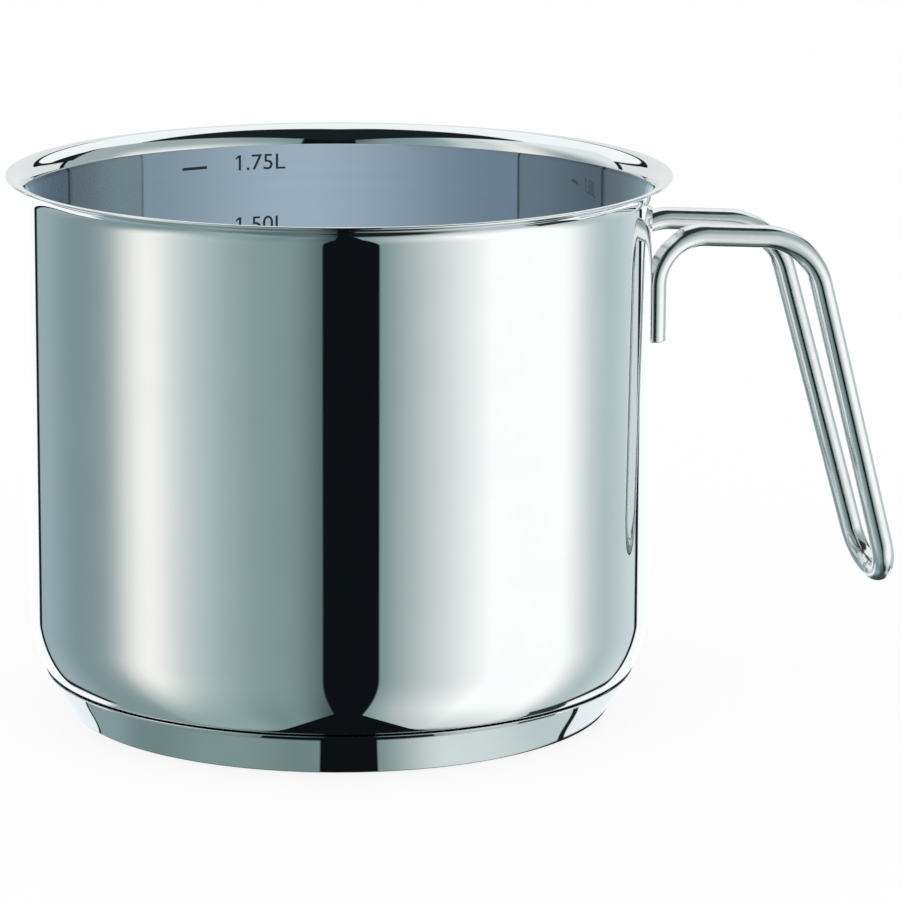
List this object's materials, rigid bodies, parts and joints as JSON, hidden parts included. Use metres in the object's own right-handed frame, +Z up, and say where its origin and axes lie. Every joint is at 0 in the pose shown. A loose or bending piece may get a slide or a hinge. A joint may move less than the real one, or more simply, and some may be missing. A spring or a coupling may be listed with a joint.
{
  "type": "milk pan",
  "caption": "Tall straight-sided steel milk pan with a flared pouring rim, a thick capsule base and a bent wire loop handle welded under the rim.",
  "frame": {"origin": "centre of the flat underside of the base, on the pan's axis", "axes": "+Z up along the pan's axis, +X along the handle, away from the pan"},
  "size_m": [0.2163, 0.1546, 0.1267],
  "materials": {
    "polished_steel": "mirror-polished stainless steel outside and on the rim, fine satin inside",
    "core_aluminium": "plain pressed aluminium, hidden",
    "cap_steel": "mirror-polished stainless steel, turned underneath",
    "wire_steel": "polished stainless steel wire"
  },
  "bodies": {
    "root": {"pan_body": "polished_steel", "base_core": "core_aluminium", "base_cap": "cap_steel", "handle_wire": "wire_steel"}
  },
  "joints": []
}
